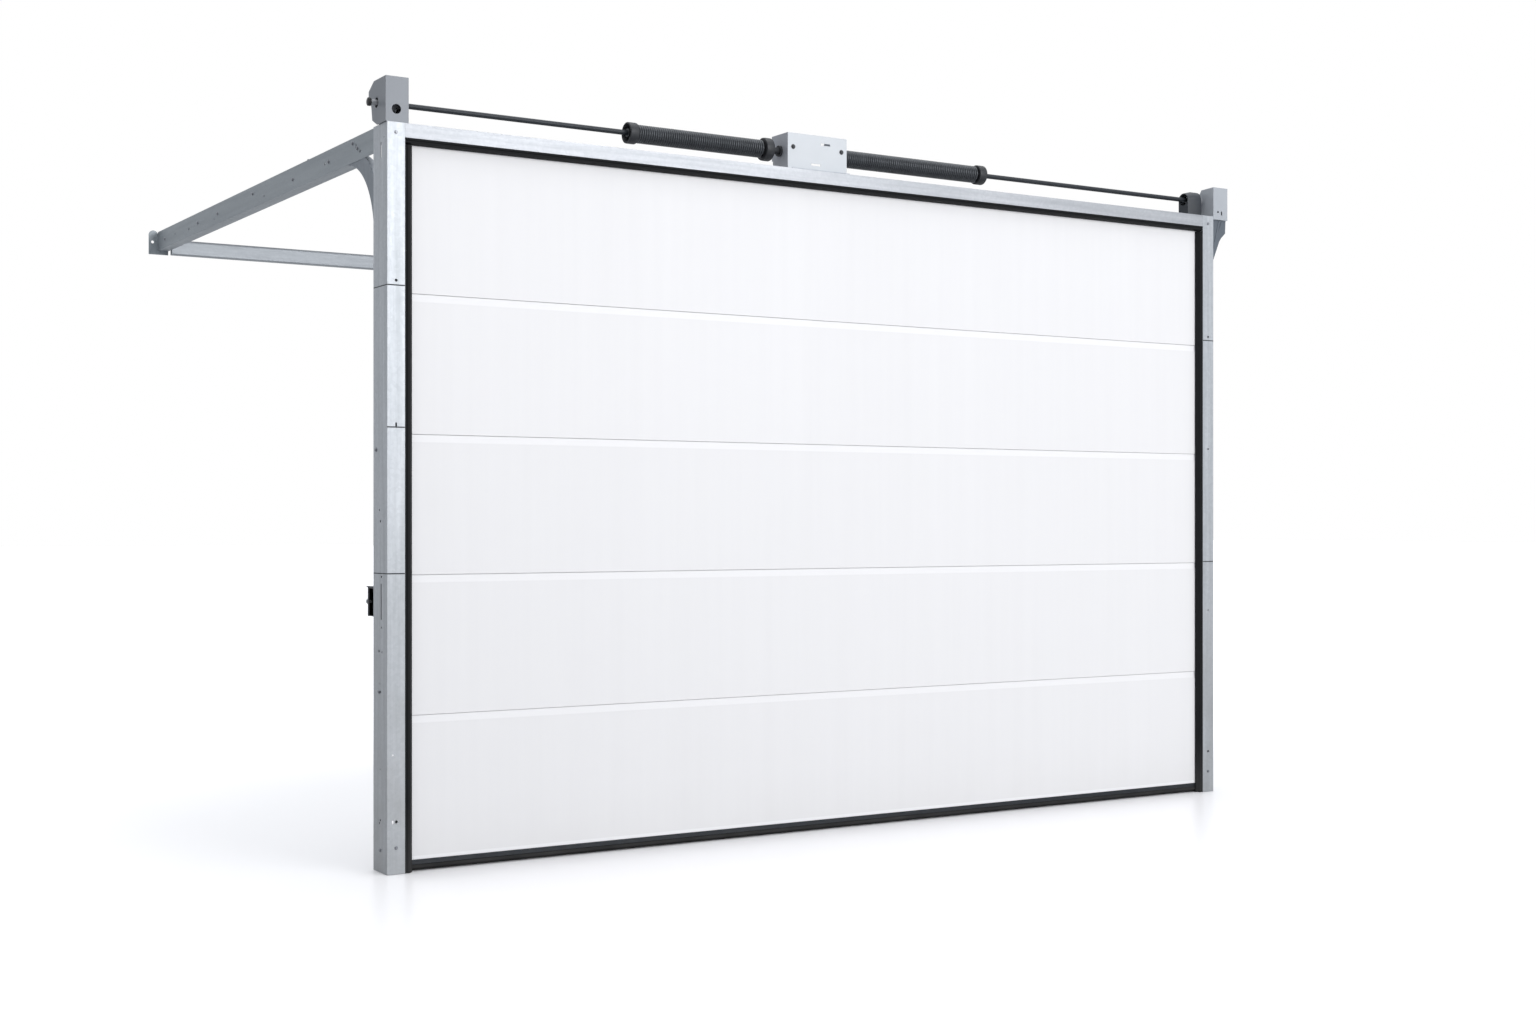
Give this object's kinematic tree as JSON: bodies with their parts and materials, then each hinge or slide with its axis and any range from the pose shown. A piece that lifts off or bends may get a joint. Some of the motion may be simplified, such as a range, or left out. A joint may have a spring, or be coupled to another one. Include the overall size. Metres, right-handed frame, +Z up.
{
  "type": "sectional garage door",
  "caption": "Overhead sectional garage door: steel frame and tracks, hinged white panel leaf on rollers, torsion spring shaft with cable drums, and side bolt lock.",
  "frame": {"origin": "on the floor at mid width, in the middle plane of the closed leaf, midway between the two floor anchor holes", "axes": "+X across the door to the right seen from outside, +Y into the garage along the horizontal tracks, +Z up"},
  "size_m": [4.143, 3.063, 2.814],
  "materials": {
    "galvanised_steel": "satin",
    "housing_paint": "satin",
    "cover_paint": "satin",
    "panel_paint": "satin",
    "seal_rubber": "matte",
    "guard_plastic": "matte",
    "knob_plastic": "matte",
    "spring_steel": "satin",
    "shaft_steel": "satin",
    "cone_iron": "matte",
    "drum_aluminium": "satin",
    "cable_steel": "satin",
    "zinc_hardware": "satin",
    "bolt_zinc": "satin",
    "screw_black": "satin",
    "edge_aluminium": "satin",
    "roller_nylon": "matte",
    "stem_steel": "polished",
    "lock_paint": "satin",
    "bearing_steel": "polished"
  },
  "bodies": {
    "frame": {"left_upright": "galvanised_steel", "right_upright": "galvanised_steel", "header": "galvanised_steel", "foot_plates": "galvanised_steel", "left_vertical_track": "galvanised_steel", "right_vertical_track": "galvanised_steel", "left_curved_track": "galvanised_steel", "right_curved_track": "galvanised_steel", "left_horizontal_track": "galvanised_steel", "right_horizontal_track": "galvanised_steel", "rear_spreader": "galvanised_steel", "rear_end_plates": "galvanised_steel", "side_seals": "seal_rubber", "top_seal": "seal_rubber", "left_drum_housing": "housing_paint", "right_bearing_housing": "housing_paint", "right_gusset": "housing_paint", "right_drum_guard": "guard_plastic", "shaft_bearings": "bearing_steel", "centre_bracket": "galvanised_steel", "centre_cover": "cover_paint", "cover_screws": "screw_black", "stationary_cones": "cone_iron", "left_spring": "spring_steel", "right_spring": "spring_steel", "frame_bolts": "bolt_zinc", "lock_case": "lock_paint"},
    "leaf": {"section_1": "panel_paint", "section_2": "panel_paint", "section_3": "panel_paint", "section_4": "panel_paint", "end_caps": "panel_paint", "bottom_retainer": "edge_aluminium", "bottom_seal": "seal_rubber", "bottom_brackets": "zinc_hardware", "roller_carriers": "zinc_hardware", "roller_stems": "stem_steel", "hinge_lower_leaves": "zinc_hardware", "hinge_upper_leaves": "zinc_hardware", "lock_strike": "zinc_hardware", "left_lift_cable": "cable_steel", "right_lift_cable": "cable_steel"},
    "top_section": {"section_5": "panel_paint", "top_end_caps": "panel_paint", "top_brackets": "zinc_hardware", "top_hinge_leaves": "zinc_hardware"},
    "top_carriage": {"top_roller_stems": "stem_steel"},
    "top_rollers": {"top_rollers": "roller_nylon"},
    "shaft": {"torsion_shaft": "shaft_steel", "left_drum": "drum_aluminium", "right_drum": "drum_aluminium", "winding_cones": "cone_iron", "shaft_end_knob": "knob_plastic"},
    "lock_bolt": {"lock_bolt": "stem_steel"},
    "rollers_0": {"rollers_line_0": "roller_nylon"},
    "rollers_1": {"rollers_line_1": "roller_nylon"},
    "rollers_2": {"rollers_line_2": "roller_nylon"},
    "rollers_3": {"rollers_line_3": "roller_nylon"},
    "rollers_4": {"rollers_line_4": "roller_nylon"}
  },
  "joints": [
    {"name": "door_lift", "type": "slide", "parent": "frame", "child": "leaf", "axis": [0, 0, 1], "range_m": [0, 0.19], "deforming": ["left_lift_cable", "right_lift_cable"]},
    {"name": "shaft_turn", "type": "hinge", "parent": "frame", "child": "shaft", "pos_m": [0, 0.045, 2.733], "axis": [1, 0, 0], "range_deg": [-341, 0]},
    {"name": "top_section_tilt", "type": "hinge", "parent": "leaf", "child": "top_section", "pos_m": [0, 0.032, 2.054], "axis": [-1, 0, 0], "range_deg": [0, 44.91]},
    {"name": "top_roller_travel", "type": "slide", "parent": "frame", "child": "top_carriage", "axis": [0, 1, 0], "range_m": [0, 0.3945]},
    {"name": "top_rollers_spin", "type": "hinge", "parent": "top_carriage", "child": "top_rollers", "pos_m": [0, 0.065, 2.626], "axis": [1, 0, 0], "range_deg": [-1130, 0]},
    {"name": "lock_bolt_slide", "type": "slide", "parent": "frame", "child": "lock_bolt", "axis": [1, 0, 0], "range_m": [0, 0.024]},
    {"name": "rollers_0_spin", "type": "hinge", "parent": "leaf", "child": "rollers_0", "pos_m": [0, 0.065, 0.085], "axis": [1, 0, 0], "range_deg": [-546, 0]},
    {"name": "rollers_1_spin", "type": "hinge", "parent": "leaf", "child": "rollers_1", "pos_m": [0, 0.065, 0.554], "axis": [1, 0, 0], "range_deg": [-546, 0]},
    {"name": "rollers_2_spin", "type": "hinge", "parent": "leaf", "child": "rollers_2", "pos_m": [0, 0.065, 1.054], "axis": [1, 0, 0], "range_deg": [-546, 0]},
    {"name": "rollers_3_spin", "type": "hinge", "parent": "leaf", "child": "rollers_3", "pos_m": [0, 0.065, 1.554], "axis": [1, 0, 0], "range_deg": [-546, 0]},
    {"name": "rollers_4_spin", "type": "hinge", "parent": "leaf", "child": "rollers_4", "pos_m": [0, 0.065, 2.054], "axis": [1, 0, 0], "range_deg": [-546, 0]}
  ],
  "couplings": [
    {"joint": "shaft_turn", "follows": "door_lift", "rad_per_m": -31.25},
    {"joint": "top_section_tilt", "follows": "door_lift", "rad_per_m": 4.123},
    {"joint": "top_roller_travel", "follows": "door_lift", "ratio": 2.0738},
    {"joint": "top_rollers_spin", "follows": "door_lift", "rad_per_m": -103.69},
    {"joint": "rollers_0_spin", "follows": "door_lift", "rad_per_m": -50},
    {"joint": "rollers_1_spin", "follows": "door_lift", "rad_per_m": -50},
    {"joint": "rollers_2_spin", "follows": "door_lift", "rad_per_m": -50},
    {"joint": "rollers_3_spin", "follows": "door_lift", "rad_per_m": -50},
    {"joint": "rollers_4_spin", "follows": "door_lift", "rad_per_m": -50}
  ]
}
